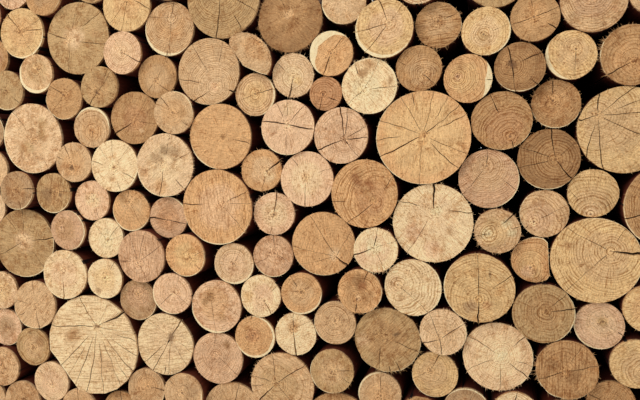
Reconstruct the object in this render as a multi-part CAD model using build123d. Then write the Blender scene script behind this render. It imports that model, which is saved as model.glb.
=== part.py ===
from build123d import *
import os

import numpy as np

# A free-standing stack of barked softwood logs, all sawn to one length and laid side by side
# with their ends flush in one face. X runs along the face, Y along the logs, Z up.
# The origin lies on the ground at the middle of the stack. Sizes are in millimetres.

LOG_LENGTH = 2000.0
TAPER = 6.0  # diameter that a log loses in each metre from its butt to its top
OVAL = 0.013  # most that a log is longer than round one way, as a share of its radius
LOBES = 0.007  # most that its three-sided swell stands out, as a share of its radius
END_STEP = 12.0  # most that a sawn end stands out of the face or back from it
SAW_LEAN = 0.02  # most that a sawn end leans, in millimetres for each millimetre across
SEAT = 0.4  # clearance between a log and what it lies on
RIM_BLUR = 0.8  # width of the soft rim that the readings of the diameters include
COURSE_RISE = 95.0  # height of the band whose logs make one course

# Each log as read on the face of the stack: x, height of its heart above the ground, diameter.
GROUND_LOGS = [
    (-1205, 70, 140), (-1050, 82, 165), (-895, 60, 120), (-756, 48, 98), (-661, 51, 101), (-496, 48, 96),
    (-389, 49, 98), (-275, 42, 84), (-108, 72, 146), (133, 74, 148), (270, 46, 92), (362, 46, 92),
    (454, 47, 94), (548, 48, 96), (668, 62, 124), (830, 70, 140), (978, 78, 156), (1120, 65, 130), (1243, 58, 116),
]
FACE_LOGS = [
    (-580, 96, 98), (-316, 116, 96), (-220, 118, 95), (402, 131, 94), (497, 136, 97), (311, 127, 92),
    (-706, 139, 96), (10, 149, 145), (217, 154, 93), (671, 171, 92), (-624, 184, 95), (-138, 190, 119),
    (125, 203, 96), (-454, 207, 238), (352, 211, 95), (-264, 227, 143), (-702, 234, 93), (591, 235, 117),
    (464, 248, 138), (-49, 253, 94), (708, 253, 94), (43, 267, 94), (243, 269, 139), (-611, 293, 117),
    (132, 299, 93), (361, 306, 95), (-138, 311, 119), (-334, 321, 95), (649, 320, 92), (-708, 330, 94),
    (548, 343, 117), (-36, 345, 93), (-239, 346, 95), (55, 360, 91), (187, 369, 95), (-414, 370, 93),
    (729, 368, 92), (-521, 375, 118), (293, 388, 117), (431, 398, 138), (-110, 414, 93), (-323, 426, 119),
    (-17, 436, 92), (-212, 436, 96), (-645, 445, 168), (533, 448, 91), (639, 452, 163), (-426, 462, 94),
    (218, 462, 94), (96, 467, 138), (-518, 477, 94), (463, 509, 91), (-265, 516, 95), (338, 518, 161),
    (-360, 531, 97), (-2, 530, 94), (-740, 532, 92), (-135, 543, 165), (548, 546, 93), (-455, 552, 93),
    (754, 564, 158), (-549, 567, 95), (-644, 575, 93), (197, 575, 140), (631, 586, 93), (71, 604, 117),
    (444, 612, 117), (-730, 618, 96), (-32, 623, 93), (-387, 635, 120), (-253, 637, 142), (-494, 643, 94),
    (550, 654, 117), (149, 691, 116), (311, 694, 188), (-125, 698, 143), (-611, 701, 165), (676, 708, 163),
    (33, 715, 117), (-742, 716, 92), (-448, 723, 94), (460, 727, 115), (-340, 742, 120), (-234, 752, 95),
    (560, 759, 93), (107, 775, 71), (-47, 781, 92), (-514, 790, 97), (199, 796, 115), (394, 807, 94),
    (-675, 815, 95), (-422, 816, 95), (491, 824, 95), (38, 824, 94), (-282, 832, 96), (304, 834, 92),
    (-152, 839, 144), (690, 847, 113), (584, 848, 92), (-589, 850, 92), (121, 862, 93), (-57, 862, 108),
    (-358, 891, 95), (-725, 893, 94), (428, 893, 93), (232, 911, 118), (339, 916, 92), (516, 917, 91),
    (-482, 928, 165), (-252, 935, 119), (617, 946, 116), (36, 947, 143), (-631, 947, 118), (722, 950, 93),
    (153, 972, 95), (-118, 988, 166), (445, 998, 118), (-353, 998, 118), (296, 1001, 94), (-563, 1026, 94),
    (-248, 1043, 94), (-661, 1054, 94),
]
LEFT_END_LOGS = [
    (-820, 150, 110), (-950, 190, 120), (-1130, 200, 140), (-840, 260, 120), (-1040, 290, 150),
    (-930, 350, 120), (-800, 400, 140), (-980, 460, 140), (-850, 530, 120),
    (-950, 600, 120), (-840, 650, 120), (-900, 740, 120), (-840, 830, 100), (-815, 937, 100), (-735, 1002, 100),
    (-832, 1036, 96),
]
RIGHT_END_LOGS = [
    (590, 131, 90), (744, 131, 76), (797, 200, 100), (905, 190, 120), (1055, 182, 116), (1188, 164, 116),
    (790, 295, 90), (884, 300, 100), (992, 283, 116), (1128, 266, 112), (845, 425, 162), (975, 388, 96),
    (1072, 363, 112), (888, 558, 110), (963, 487, 100), (1054, 456, 92), (990, 582, 100), (800, 672, 96),
    (923, 660, 104), (800, 786, 132), (911, 759, 96), (790, 905, 104), (884, 862, 92),
]
TOP_LOGS = [
    (-444, 1052, 94), (-177, 1104, 94), (-3, 1071, 118), (215, 1040, 108), (364, 1068, 100), (545, 1036, 100),
    (680, 1036, 100),
]

# Logs that were slabbed before they were stacked. A flat is the way that it faces, in degrees from
# the X axis, and how far it stands from the heart as a share of the radius.
SLABBED_LOGS = {
    (-454, 207): {"flats": [(220, 0.86)]},
    (533, 448): {"flats": [(5, 0.56)]},
    (-57, 862): {"flats": [(215, 0.31), (247, 0.36)], "oval": 0.09, "long_way": -43, "butt": "front"},
}

# Ways round a log that its width is measured in, and the places along it where two logs are compared.
WAYS = 90
WAY_ANGLES = np.arange(WAYS) * 2 * np.pi / WAYS
WAY = np.stack([np.cos(WAY_ANGLES), np.sin(WAY_ANGLES)], axis=1)
DOWN = 3 * WAYS // 4
ALONG = np.linspace(0, 1, 9)
CHORDS = 20  # straight chords that the round of a log is drawn with, so that a whole stack stays light
CORNERS_OUT = (2 * np.pi / CHORDS / np.sin(2 * np.pi / CHORDS)) ** 0.5  # so that the chords keep the log's volume
FRONT, BACK = 0, 1


class Log:
    """One log: its outline, and where its heart lies at the front and the back of the stack."""

    def __init__(self, x, z, diameter, number, chance, flats=(), oval=None, long_way=None, butt=None):
        self.read_at = np.array([x, z], float)
        self.flats = [(np.radians(facing), share) for facing, share in flats]
        drawn_oval, drawn_way = chance.uniform(0.3, 1) * OVAL, chance.uniform(0, 180)
        self.oval = drawn_oval if oval is None else oval
        self.long_way = np.radians(drawn_way if long_way is None else long_way)
        self.lobes = chance.uniform(0.2, 1) * LOBES
        self.lobe_way = chance.uniform(0, 2 * np.pi)
        self.steps = chance.uniform(-END_STEP, END_STEP, 2)
        self.leans = chance.uniform(-SAW_LEAN, SAW_LEAN, (2, 2))
        butt = butt or ("front" if number % 2 else "back")
        narrowing = TAPER * LOG_LENGTH / 1000 * (-1 if butt == "front" else 1)
        front = diameter - RIM_BLUR
        self.radii = np.array([front / 2, (front + narrowing) / 2])
        self.outline = self.corners(chance.uniform(0, 2 * np.pi))
        self.width = np.outer(self.radii, (WAY @ self.outline.T).max(axis=1))
        self.hearts = None

    def round_at(self, angle):
        """Distance from the heart to the round of the log, as a share of the radius."""
        oval = self.oval * np.cos(2 * (angle - self.long_way))
        return 1 + oval + self.lobes * np.cos(3 * (angle - self.lobe_way))

    def corners(self, first_angle):
        """The corners of the outline about the heart, for a radius of one."""
        if not self.flats:
            angles = first_angle + np.arange(CHORDS) * 2 * np.pi / CHORDS
            return self.curve(angles)
        start = self.end_of_flat(*self.flats[-1], 1)
        stop = self.end_of_flat(*self.flats[0], -1) + 2 * np.pi
        angles = np.linspace(start, stop, round((stop - start) / (2 * np.pi) * CHORDS) + 1)
        between = [self.meeting(one, two) for one, two in zip(self.flats, self.flats[1:])]
        return np.vstack([self.curve(angles), *between])

    def curve(self, angles):
        """The corners of the chords of the round at these angles."""
        return (CORNERS_OUT * self.round_at(angles) * np.array([np.cos(angles), np.sin(angles)])).T

    def end_of_flat(self, facing, share, side):
        """The angle at which a flat runs out into the round, on one side of the way that it faces."""
        swing = np.arccos(share)
        for _ in range(20):
            swing = np.arccos(share / self.round_at(facing + side * swing))
        return facing + side * swing

    def meeting(self, one, two):
        """The corner where two flats meet."""
        faces = [[np.cos(facing), np.sin(facing)] for facing, share in (one, two)]
        return np.linalg.solve(faces, [share for facing, share in (one, two)])

    def sawn_end(self, end):
        """The outline of a sawn end, where it stands and leaning as it was sawn."""
        y = self.steps[end] + (LOG_LENGTH if end == BACK else 0)
        share = y / LOG_LENGTH
        heart = (1 - share) * self.hearts[FRONT] + share * self.hearts[BACK]
        across = ((1 - share) * self.radii[FRONT] + share * self.radii[BACK]) * self.outline
        places = np.column_stack([heart[0] + across[:, 0], y + across @ self.leans[end], heart[1] + across[:, 1]])
        return Wire.make_polygon([Vector(*place) for place in places.tolist()])

    def solid(self):
        return Solid.make_loft([self.sawn_end(FRONT), self.sawn_end(BACK)], ruled=True)


# How the logs settle. Each starts where it was read, sinks a little, is pushed clear of its
# neighbours and off the ground, and sinks again by less, until it lies still on what carries it.
SETTLING_ROUNDS = 1600
FIRST_SINK, LAST_SINK = 0.6, 0.004
RESTING_ROUNDS = 150
PUSH = 0.3  # share of a shortfall that one push makes good
NEIGHBOUR_GAP = 30.0  # logs further apart than this are not compared
GRIP_FRONT, GRIP_BACK = 0.2, 0.05  # how firmly friction keeps an end near where it was read
MOST_GRIP, MOST_LIFT = 3.0, 0.85  # both as shares of a log's weight


def neighbours(hearts, widths):
    """The pairs of logs that lie close, and the distance that each pair needs along its length."""
    apart = np.sqrt(((hearts[:, None] - hearts[None]) ** 2).sum(axis=-1))
    room = apart - widths.max(axis=2)[:, None] - widths.max(axis=2)[None]
    one, two = np.nonzero(np.triu(room.min(axis=2) < NEIGHBOUR_GAP, 1))
    along = ALONG[:, None]
    width_one = (1 - along) * widths[one][:, None, FRONT] + along * widths[one][:, None, BACK]
    width_two = (1 - along) * widths[two][:, None, FRONT] + along * widths[two][:, None, BACK]
    return one, two, np.roll(width_one, WAYS // 2, axis=-1) + width_two + SEAT


def push_apart(hearts, pairs, ease, lowest):
    """Moves each pair of logs that lie too close clear of each other, the lighter one further."""
    one, two, needed = pairs
    along = ALONG[:, None]
    between = hearts[one] - hearts[two]
    between = (1 - along) * between[:, None, FRONT] + along * between[:, None, BACK]
    clear = between @ WAY.T - needed
    facing = clear.argmax(axis=-1)
    short = np.maximum(-np.take_along_axis(clear, facing[..., None], axis=-1)[..., 0], 0)
    push = PUSH * short / (ease[one] + ease[two])[:, None] / ((1 - ALONG) ** 2 + ALONG ** 2)
    push = WAY[facing] * push[..., None]
    moves = np.stack([(push * (1 - along)).sum(axis=1), (push * along).sum(axis=1)], axis=1)
    np.add.at(hearts, one, moves * ease[one][:, None, None])
    np.add.at(hearts, two, -moves * ease[two][:, None, None])
    hearts[:, :, 1] = np.maximum(hearts[:, :, 1], lowest)


def settle(logs):
    """Finds where the hearts of all the logs come to rest, at the front and at the back."""
    read_at = np.array([log.read_at for log in logs])
    hearts = np.stack([read_at, read_at], axis=1)
    widths = np.stack([log.width for log in logs])
    lowest = widths[:, :, DOWN]
    ease = 1 / widths[:, FRONT].max(axis=1) ** 2
    for round_number in range(SETTLING_ROUNDS + RESTING_ROUNDS):
        if round_number % 40 == 0:
            pairs = neighbours(hearts, widths)
        if round_number < SETTLING_ROUNDS:
            sink = FIRST_SINK * (LAST_SINK / FIRST_SINK) ** (round_number / SETTLING_ROUNDS)
            strayed = GRIP_FRONT * (read_at - hearts[:, FRONT])
            twisted = GRIP_BACK * (hearts[:, FRONT] - hearts[:, BACK])
            for end, pull in ((FRONT, strayed), (BACK, twisted)):
                hearts[:, end, 0] += sink * np.clip(pull[:, 0], -MOST_GRIP, MOST_GRIP)
                hearts[:, end, 1] -= sink * (1 - np.clip(pull[:, 1], -1, MOST_LIFT))
            push_apart(hearts, pairs, ease, lowest)
        push_apart(hearts, pairs, ease, lowest)
    return hearts


def stacked_logs():
    """All the logs, from the ground up, each at rest and centred about the origin."""
    readings = GROUND_LOGS + FACE_LOGS + LEFT_END_LOGS + RIGHT_END_LOGS + TOP_LOGS
    chance = np.random.default_rng(7)
    logs = []
    for number, (x, z, diameter) in enumerate(sorted(readings, key=lambda reading: reading[1])):
        logs.append(Log(x, z, diameter, number, chance, **SLABBED_LOGS.get((x, z), {})))
    hearts = settle(logs)
    for log, places in zip(logs, hearts):
        log.hearts = places
    return logs


def courses(logs):
    """The logs' solids, sorted into courses by the height at which each was read."""
    sorted_logs = {}
    for log in logs:
        course = int(log.read_at[1] // COURSE_RISE) + 1
        sorted_logs.setdefault(course, []).append(log.solid())
    return sorted_logs


os.makedirs("parts", exist_ok=True)
layers = courses(stacked_logs())
box = Compound([solid for solids in layers.values() for solid in solids]).bounding_box()
to_origin = Location((-box.center().X, -box.center().Y, 0))
for course, solids in sorted(layers.items()):
    export_step(Compound([to_origin * solid for solid in solids]), f"parts/course_{course:02}.step")
print("courses", len(layers), "logs", sum(len(solids) for solids in layers.values()))
print("size", [round(side, 1) for side in box.size], "moved by", [round(-c, 2) for c in (box.center().X, box.center().Y)])
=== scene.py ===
import math

import bpy
import numpy as np
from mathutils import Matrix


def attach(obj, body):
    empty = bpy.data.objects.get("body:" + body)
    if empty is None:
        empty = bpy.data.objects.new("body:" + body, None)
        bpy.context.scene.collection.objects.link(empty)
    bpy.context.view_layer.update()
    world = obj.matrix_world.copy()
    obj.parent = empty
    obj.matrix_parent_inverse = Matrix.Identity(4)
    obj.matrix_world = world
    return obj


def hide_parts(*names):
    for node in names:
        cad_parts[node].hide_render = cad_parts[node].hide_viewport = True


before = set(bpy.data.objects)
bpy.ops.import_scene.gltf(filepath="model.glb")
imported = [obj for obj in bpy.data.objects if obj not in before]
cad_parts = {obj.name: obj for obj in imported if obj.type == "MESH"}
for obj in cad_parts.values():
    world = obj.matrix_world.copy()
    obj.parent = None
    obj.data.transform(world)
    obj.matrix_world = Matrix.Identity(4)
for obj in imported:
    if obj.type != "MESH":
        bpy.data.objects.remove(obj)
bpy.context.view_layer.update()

# The lowest course: spruce logs that lie side by side on the ground and carry all the others. Each was
# felled, barked, and sawn to length at both ends, and has dried until its sawn ends turned tan and opened
# in checks, which run out from the pith and often reach the rim.

# What dry spruce looks like in daylight, as red, green and blue of 255.
wood_tones = {
    "cream": (255, 222, 172),
    "pale": (245, 207, 160),
    "yellow": (240, 200, 142),
    "tan": (227, 187, 139),
    "orange": (232, 182, 127),
    "pink": (243, 200, 157),
    "rose": (222, 178, 137),
    "grey": (194, 157, 115),
    "olive": (204, 167, 117),
    "brown": (203, 158, 108),
    "dark": (172, 130, 86),
    "red": (209, 157, 111),
    "bast": (251, 229, 180),
    "slate": (158, 124, 86),
    "stain": (168, 112, 70),
    "bark": (104, 72, 48),
}


def daylight(tone):
    """A tone by name, as the linear colour that a material takes."""
    return np.array([((c / 255 + 0.055) / 1.055) ** 2.4 for c in wood_tones[tone]])


def sawn(tone, heart=None, heart_to=0.6, rim=None, pith=(0, 0), checks=(), rings=0.5, saw=0.3, saw_way=None,
         stains=0.25, rough=0.3, fringe=None, patches=()):
    """How one sawn end looks. The rim is a crescent of bast: its thickness in mm, the way it faces and how
    far it spreads in degrees. A check is its way round in degrees, the shares of the radius where it starts
    and stops, and its width in mm. The saw lines run at saw_way degrees. A fringe is the way that torn fibres
    face, their spread in degrees and their number. A patch is its place and size in mm and its tone."""
    return {"tone": tone, "heart": heart or tone, "heart_to": heart_to, "rim": rim or (0, 0, 1), "pith": pith,
            "checks": list(checks), "rings": rings, "saw": saw, "saw_way": saw_way, "stains": stains,
            "rough": rough, "fringe": fringe or (0, 180, 0), "patches": list(patches)}


def drawn_look(chance):
    """The look of a sawn end that chance sets, as at the back and on the slopes."""
    tone = chance.choice(["cream", "pale", "yellow", "tan", "tan", "orange", "pink", "rose", "grey", "olive",
                          "brown", "brown", "dark", "red"])
    heart = chance.choice([tone, tone, "tan", "orange", "brown", "pink"])
    rim = (chance.uniform(2.5, 7), chance.uniform(-180, 180), chance.uniform(50, 110))
    checks, patches = [], []
    for _ in range(chance.integers(1, 6)):
        start, reach = chance.uniform(0.03, 0.3), chance.uniform(0.35, 1.0)
        checks.append((chance.uniform(-180, 180), start, min(start + reach, 1), chance.uniform(0.8, 2.4)))
    for _ in range(chance.integers(0, 3)):
        place, size = chance.uniform(-30, 30, 2), chance.uniform(5, 18)
        patches.append((*place, size, chance.choice(["brown", "dark", "grey", "pale"])))
    return sawn(tone, heart, heart_to=chance.uniform(0.4, 0.75), rim=rim if chance.random() < 0.45 else None,
                pith=chance.uniform(-8, 8, 2), checks=checks, rings=chance.uniform(0.2, 1),
                saw=chance.uniform(0.1, 0.6), stains=chance.uniform(0.1, 0.45),
                rough=chance.uniform(0.2, 0.8), patches=patches)


mm_in_metre = 1000
end_depth = 30  # mm along a log that hold all the corners of one sawn end


def logs_of(node):
    """The logs of a course: for each, the corners of its front end and of its back end, in mm. Corners that
    an edge joins take the lowest number among them, until each log has a number of its own."""
    mesh = bpy.data.objects[node].data
    points = np.empty(len(mesh.vertices) * 3)
    mesh.vertices.foreach_get("co", points)
    points, corner = np.unique((points.reshape(-1, 3) * mm_in_metre).round(2), axis=0, return_inverse=True)
    ends = np.empty(len(mesh.edges) * 2, int)
    mesh.edges.foreach_get("vertices", ends)
    group = np.arange(len(points))
    one, two = corner.ravel()[ends].reshape(-1, 2).T
    while True:
        lowest = group.copy()
        np.minimum.at(lowest, one, group[two])
        np.minimum.at(lowest, two, group[one])
        lowest = lowest[lowest]
        if (lowest == group).all():
            break
        group = lowest
    for log in np.unique(group):
        corners = points[group == log]
        front = corners[:, 1] < corners[:, 1].min() + end_depth
        back = corners[:, 1] > corners[:, 1].max() - end_depth
        yield corners[front], corners[back]


def sawn_plane(corners):
    """The middle of a sawn end, its mean radius, and how its plane leans across x and z."""
    middle = corners.mean(axis=0)
    across = corners - middle
    lean = np.linalg.lstsq(across[:, [0, 2]], across[:, 1], rcond=None)[0]
    return middle, np.hypot(across[:, 0], across[:, 2]).mean(), lean


slab_side = 1.5  # times the middling side of an outline, past which a side is a sawn flat
smooth_share = 0.995  # of the way out to the solid's corners: a smooth outline runs just inside them


def round_of(corners, middle):
    """The distance from the middle of an end to its outline, for any way round. A slabbed end keeps its
    straight sides. Any other is drawn smooth, with its oval and its three-sided swell."""
    flat = corners[:, [0, 2]] - middle[[0, 2]]
    flat = flat[np.argsort(np.arctan2(flat[:, 1], flat[:, 0]))]
    along = np.roll(flat, -1, axis=0) - flat
    sides = np.linalg.norm(along, axis=1)
    if sides.max() > slab_side * np.median(sides):
        out = np.stack([along[:, 1], -along[:, 0]], axis=1) / sides[:, None]
        stand = (out * flat).sum(axis=1)

        def slabbed(ways):
            facing = np.stack([np.cos(ways), np.sin(ways)], axis=-1) @ out.T
            return np.where(facing > 0.05, stand / np.maximum(facing, 0.05), 1e9).min(axis=-1)

        return slabbed
    orders = np.arange(1, 4)

    def swell(ways):
        turn = np.multiply.outer(ways, orders)
        return np.concatenate([np.ones((*np.shape(ways), 1)), np.cos(turn), np.sin(turn)], axis=-1)

    shape = np.linalg.lstsq(swell(np.arctan2(flat[:, 1], flat[:, 0])), np.hypot(*flat.T), rcond=None)[0]
    return lambda ways: smooth_share * (swell(ways) @ shape)


def ripple(chance, size, count=6):
    """A seeded uneven surface, about one high, whose swells are about a size in mm across."""
    ways = chance.uniform(0, 2 * np.pi, count)
    pace = 2 * np.pi / (size * chance.uniform(0.6, 1.8, count))
    start = chance.uniform(0, 2 * np.pi, count)

    def height(x, z):
        turns = np.multiply.outer(x, np.cos(ways) * pace) + np.multiply.outer(z, np.sin(ways) * pace) + start
        return np.sin(turns).sum(axis=-1) / count ** 0.5

    return height


def apart(ways, way):
    """How far round each way is from one way, in radians."""
    return (ways - way + np.pi) % (2 * np.pi) - np.pi


def eased(value, low, high):
    """A smooth step from nought at low to one at high."""
    share = np.clip((value - low) / (high - low), 0, 1)
    return share * share * (3 - 2 * share)


courses = {f"course_{number:02}": list(logs_of(f"course_{number:02}")) for number in range(1, 13)}
stack = np.array([[*(front.mean(axis=0) + back.mean(axis=0))[[0, 2]] / 2, sawn_plane(front)[1]]
                  for logs in courses.values() for front, back in logs])


def open_sky(middle, radius, ways):
    """How open a log's flank is each way round, from nought inside the stack to one where nothing is near.
    It looks out along rays that lean both ways, and those that meet the ground bring half the light."""
    way_out = np.stack([np.cos(ways), np.sin(ways)], axis=1)
    light = np.zeros(len(ways))
    leans = np.radians((-66, -44, -22, 0, 22, 44, 66))
    for lean in leans:
        aim = np.stack([np.cos(ways + lean), np.sin(ways + lean)], axis=1)
        to = stack[:, None, :2] - (middle + radius * way_out)[None]
        ahead = (to * aim).sum(axis=-1)
        aside = np.abs(to[..., 0] * aim[:, 1] - to[..., 1] * aim[:, 0])
        met = ((ahead > 1) & (aside < stack[:, 2, None])).any(axis=0)
        light += np.where(met, 0, np.where(aim[:, 1] < 0, 0.5, 1)) / len(leans)
    return light


class Course:
    """Gathers the corners, the faces and the finish of the logs of one course. The finish is what the
    materials read at each corner, by name, and widths says how many numbers each name holds."""

    widths = {"tone": 4, "rim": 4, "place": 3, "marks": 3, "way": 3, "cut": 3}

    def __init__(self):
        self.points, self.faces, self.slots, self.count = [], [], [], 0
        self.finish = {name: [] for name in self.widths}

    def add(self, points, **finish):
        """Corners with their finish. Returns their numbers, in the rows that they came in."""
        numbers = self.count + np.arange(points[..., 0].size).reshape(points.shape[:-1])
        self.count += numbers.size
        self.points.append(points.reshape(-1, 3))
        for name, width in self.widths.items():
            laid = np.broadcast_to(finish[name], (*numbers.shape, width))
            self.finish[name].append(laid.reshape(-1, width))
        return numbers

    def skin(self, rows, slot, turned):
        """Faces between rows of corners that go round the log."""
        here, there = rows[:-1], rows[1:]
        rounds = [here, np.roll(here, -1, axis=1), np.roll(there, -1, axis=1), there]
        faces = np.stack(rounds, axis=-1).reshape(-1, 4)
        self.faces += (faces[:, ::-1] if turned else faces).tolist()
        self.slots += [slot] * len(faces)


def rim_ways(look, radius):
    """Each runs straight out from the pith."""
    pith = np.array(look["pith"], float)
    aims = np.radians([check[0] for check in look["checks"]])
    aim = np.stack([np.cos(aims), np.sin(aims)], axis=-1).reshape(-1, 2)
    inward = aim @ pith
    reach = np.sqrt(inward ** 2 + radius ** 2 - pith @ pith) - inward
    meets = pith + reach[:, None] * aim
    return np.arctan2(meets[:, 1], meets[:, 0])


check_side = 0.008  # radians from the middle of a check to the lines beside it, where it is shut
check_yield = 0.9  # radians on both sides of a check that move aside to let it open
check_wander = 0.35  # radians on both sides of a check that follow its bends


def drying_checks(look, ways, shares, radius):
    """What the checks do to the corners of an end: how far they turn them aside, in radians, how deep they
    sink them, in mm, and how dark their painted shade makes them. A check that stops short of the rim
    closes again there."""
    turn = np.zeros((len(shares), len(ways)))
    sunk, dark = np.zeros_like(turn), np.zeros_like(turn)
    for (_, start, stop, width), way in zip(look["checks"], rim_ways(look, radius)):
        off = apart(ways, way)
        along = np.clip((shares - start) / (stop - start), 0, 1)
        if stop < 1:
            gape = np.where(along > 0, np.sin(np.pi * np.clip(along, 0, 0.98)) ** 0.5, 0)
        else:
            gape = np.where(along > 0, np.sin(0.5 * np.pi * along) ** 0.6, 0)
        opened = np.minimum(0.5 * width * gape / (shares * radius), 0.5)
        turn += np.sign(off) * opened * np.clip(1 - np.abs(off) / check_yield, 0, 1)
        wander = 0.022 * np.sin(6 * shares + 40 * way) + 0.010 * np.sin(19 * shares + 90 * way)
        turn += wander * np.exp(-(off / check_wander) ** 2)
        at_check = np.abs(off) < check_side / 2
        turn[:, at_check] = wander
        deepest = min(3 * width, 14)
        sunk += at_check * gape * deepest
        # Painted shade: the corners down the middle of a check are darkened to near black, and those just
        # beside it less, most near the pith.
        deepest_shade = min(0.60 + 0.36 * width, 1)
        beside = np.where(np.abs(off) < 1.5 * check_side, np.clip(0.9 - 2.2 * shares, 0.3, 0.8), 0)
        dark = np.maximum(dark, (gape > 0) * np.where(at_check, deepest_shade, beside))
    return turn, sunk, dark


def end_tone(look, shares, x, z, cloud, chance):
    """The colour of an end at each corner: its sapwood, heartwood and patches, all a little cloudy."""
    sap = eased(shares + 0.05 * cloud, look["heart_to"] - 0.10, look["heart_to"] + 0.12)[..., None]
    tone = daylight(look["tone"]) * (0.4 + 0.6 * sap) + daylight(look["heart"]) * 0.6 * (1 - sap)
    for patch_x, patch_z, size, name in look["patches"]:
        off = np.hypot(x - patch_x, z - patch_z) / size + 0.16 * ripple(chance, 16)(x, z)
        there = 0.8 * eased(-off, -1.25, -0.55)[..., None]
        tone = tone * (1 - there) + daylight(name) * there
    return tone * (1 + 0.05 * cloud[..., None]) * chance.uniform(0.94, 1.05)


def bast_from(look, at, reach, radius, chance):
    """The share of the radius where the crescent of bast starts. An end whose rim isn't given gets a thin
    pale edge in the same colour by chance, or none."""
    thick, toward, spread = look["rim"]
    if not thick:
        thick = chance.choice([0, 1.6, 2.2])
        toward, spread = chance.uniform(-170, 40), chance.uniform(50, 100)
    wide = thick * (1 - (apart(at, math.radians(toward)) / math.radians(spread)) ** 2)
    wide += 0.10 * thick * ripple(chance, 34)(radius * np.cos(at), radius * np.sin(at))
    return 1 - np.maximum(wide, -3) / reach if thick else np.full_like(at, 1.2)


face_inset = 0.8  # mm that a dressed end lies back from the plain one, before its own unevenness


def end_face(course, corners, look, ways, rings, chance, seed, facing):
    """A sawn end, from its pith out to its rim. It faces -1, the front of the stack, or 1, the back."""
    middle, radius, lean = sawn_plane(corners)
    shares = np.array(rings)[:, None]
    pith = np.array(look["pith"], float)
    turn, sunk, dark = drying_checks(look, ways, shares, radius)
    at = ways + turn
    reach = round_of(corners, middle)(at)
    frayed = np.abs(ripple(chance, 9)(radius * np.cos(ways), radius * np.sin(ways)))
    reach = reach - np.where(shares == 1, look["rough"] * (0.4 + 0.8 * frayed), 0)
    x = pith[0] + shares * (reach * np.cos(at) - pith[0])
    z = pith[1] + shares * (reach * np.sin(at) - pith[1])
    uneven = ripple(chance, 38)(x, z) * (0.3 + 0.9 * look["rough"]) + ripple(chance, 13)(x, z) * 0.3
    y = middle[1] + lean[0] * x + lean[1] * z - facing * (face_inset + uneven + sunk)
    points = np.stack([middle[0] + x, y, middle[2] + z], axis=-1)

    cloud = ripple(chance, 30)(x, z)
    tone = end_tone(look, shares, x, z, cloud, chance)
    rim_from = bast_from(look, at, reach, radius, chance)
    saw_way = math.pi * seed if look["saw_way"] is None else math.radians(look["saw_way"])
    across = z * math.cos(saw_way) - x * math.sin(saw_way)
    lengthways = x * math.cos(saw_way) + z * math.sin(saw_way)
    share_here = np.broadcast_to(shares, x.shape)
    turns = np.hypot(x - pith[0], z - pith[1]) * chance.uniform(0.9, 1.7) + 1.5 * cloud
    numbers = course.add(
        points,
        tone=np.concatenate([tone, np.full_like(tone[..., :1], look["rings"])], axis=-1),
        rim=np.concatenate([np.broadcast_to(daylight("bast"), tone.shape), rim_from[..., None]], axis=-1),
        place=np.stack([np.hypot(x - pith[0], z - pith[1]), share_here, 1 + 0 * x], axis=-1),
        # The first of the marks is how far painted shade darkens a check.
        marks=np.stack([dark, np.full_like(x, look["stains"]), np.full_like(x, seed)], axis=-1),
        way=np.stack([np.cos(at), np.sin(at), turns], axis=-1),
        cut=np.stack([across, lengthways, np.full_like(x, look["saw"])], axis=-1),
    )
    course.skin(numbers, 0, facing > 0)
    course.faces.append((numbers[0] if facing > 0 else numbers[0][::-1]).tolist())
    course.slots.append(0)
    splinters(course, points[-1] - middle, middle, look, chance, seed, facing)
    return numbers[-1], points[-1], sunk[-1]


def splinters(course, rim, middle, look, chance, seed, facing):
    """Torn fibres that the saw left standing round the rim of a sawn end, each a thin closed spike."""
    toward, spread, extra = look["fringe"]
    count = round(9 + 22 * look["rough"]) + extra
    ways = np.arctan2(rim[:, 2], rim[:, 0])
    torn = np.flatnonzero(np.abs(apart(ways, math.radians(toward))) < math.radians(spread))
    root = rim[np.concatenate([chance.integers(0, len(rim), count - extra), chance.choice(torn, extra)])]
    out = root * (1, 0, 1)
    out /= np.linalg.norm(out, axis=1)[:, None]
    side = np.stack([-out[:, 2], out[:, 1], out[:, 0]], axis=1)
    proud = np.array([0, facing, 0])
    longer = np.where(np.arange(count) < count - extra, 1, 1.7)
    long = (chance.uniform(1.5, 5, count) * (0.7 + 0.5 * look["rough"]) * longer)[:, None]
    lean, rise = chance.uniform(-1.1, 1.1, (2, count, 1))
    tip = root + long * (out * np.cos(lean) + side * np.sin(lean) + 0.5 * rise * proud)
    wide = chance.uniform(0.3, 0.8, (count, 1))
    root = root - 1.6 * out
    left, right = root + wide * side + 0.2 * proud, root - wide * side + 0.2 * proud
    corners = middle + np.stack([left, right, root - 1.6 * proud, tip], axis=1)
    colour = [*daylight(look["tone"]) * 0.85, 0]
    numbers = course.add(corners, tone=colour, rim=[*daylight("bast"), 2], place=[60, 0.5, 1],
                         marks=[0, 0, seed], way=[1, 0, 0], cut=[0, 0, 0])
    order = np.array([[0, 1, 3], [1, 2, 3], [2, 0, 3], [0, 2, 1]])
    course.faces += numbers[:, order[:, ::facing]].reshape(-1, 3).tolist()
    course.slots += [0] * (4 * count)


by_end = np.array((9, 30, 60, 120, 400))  # mm from a sawn end to the rows of corners near it
by_whorl = np.array((-24, -10, 0, 10, 24))  # mm from the middle of a whorl to its rows of corners
knot_light = 0.3  # how open to the sky a flank has to be before its knots are made
knot_height = 3.0  # mm that the wood swells over a knot
split_depth, split_length = 9, 300  # mm that a check at most cuts into the flank and runs along it
inner_swell = 7  # mm that a flank inside the stack swells between its ends, which narrows the gaps


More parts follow.
